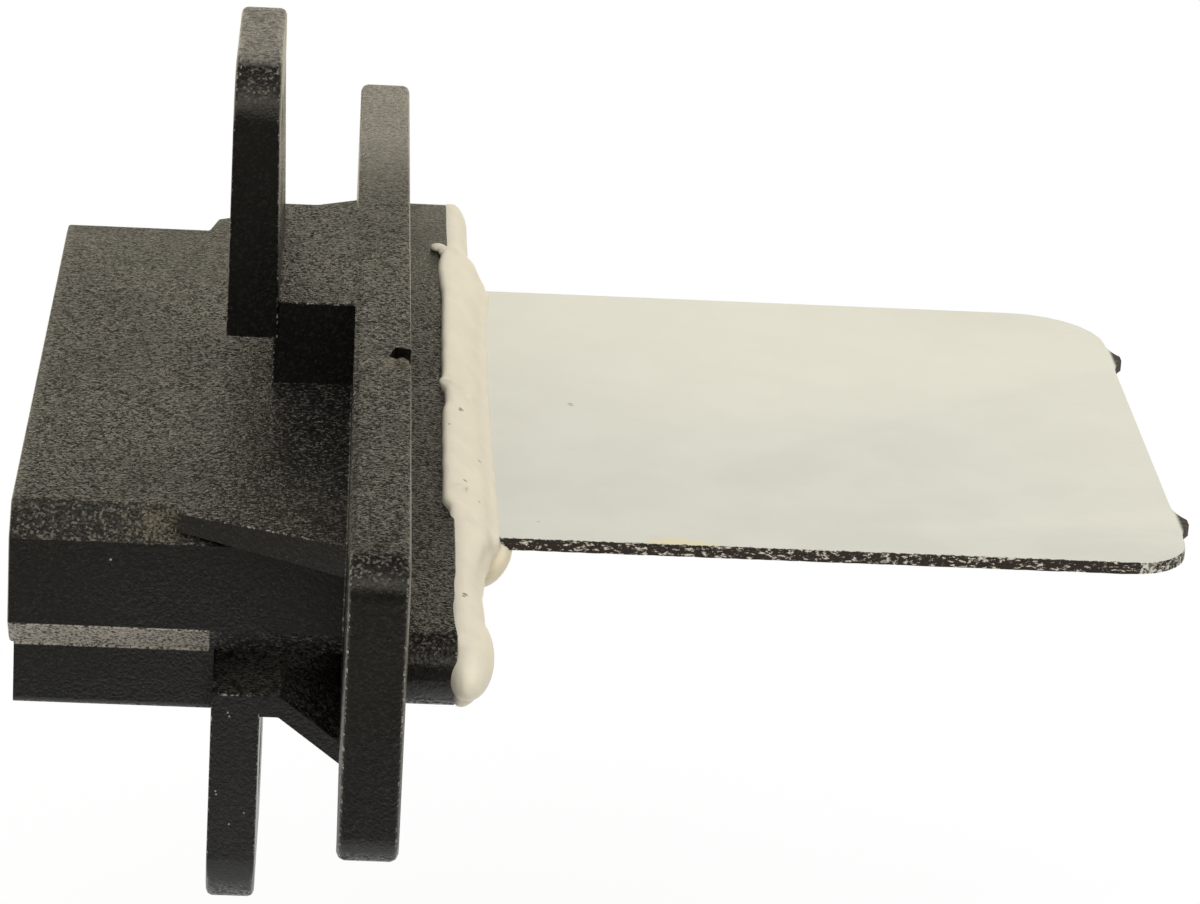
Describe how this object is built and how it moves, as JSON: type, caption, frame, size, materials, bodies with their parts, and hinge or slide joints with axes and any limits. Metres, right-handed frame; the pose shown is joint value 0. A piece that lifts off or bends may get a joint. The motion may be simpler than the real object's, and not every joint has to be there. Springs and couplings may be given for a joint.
{
  "type": "blower motor resistor",
  "caption": "Moulded connector housing on a flange with two offset screw ears, carrying a flat enamelled resistor card sealed into its collar.",
  "frame": {"origin": "middle of the flange's seating face, which is the face on the card's side, in the middle of the collar", "axes": "+X out of the flange along the card and into the duct, +Y along the flange, +Z square to the card"},
  "size_m": [0.0748, 0.1006, 0.0478],
  "materials": {
    "black_nylon": "semi-gloss glass-filled moulding",
    "card_enamel": "smooth off-white enamel on steel, dark broken edge",
    "terminal_plating": "tin plated",
    "silver_print": "fired silver print, dull",
    "resistor_print": "fired glassy resistor print",
    "fuse_case_metal": "plated drawn case",
    "fuse_resin": "cast resin",
    "lead_plating": "tinned wire",
    "solder": "smooth solder",
    "silicone": "cream silicone, hand laid"
  },
  "bodies": {
    "root": {"housing": "black_nylon", "card": "card_enamel", "terminal_1": "terminal_plating", "terminal_2": "terminal_plating", "terminal_3": "terminal_plating", "terminal_4": "terminal_plating", "terminal_5": "terminal_plating", "conductor_1": "silver_print", "conductor_2": "silver_print", "conductor_3": "silver_print", "conductor_4": "silver_print", "conductor_5": "silver_print", "conductor_6": "silver_print", "resistor_track_1": "resistor_print", "resistor_track_2": "resistor_print", "resistor_track_3": "resistor_print", "resistor_track_4": "resistor_print", "fuse_case": "fuse_case_metal", "fuse_seal": "fuse_resin", "fuse_lead_1": "lead_plating", "fuse_lead_2": "lead_plating", "terminal_solder_1": "solder", "terminal_solder_2": "solder", "terminal_solder_3": "solder", "terminal_solder_4": "solder", "terminal_solder_5": "solder", "fuse_solder_1": "solder", "fuse_solder_2": "solder", "sealant": "silicone"}
  },
  "joints": []
}
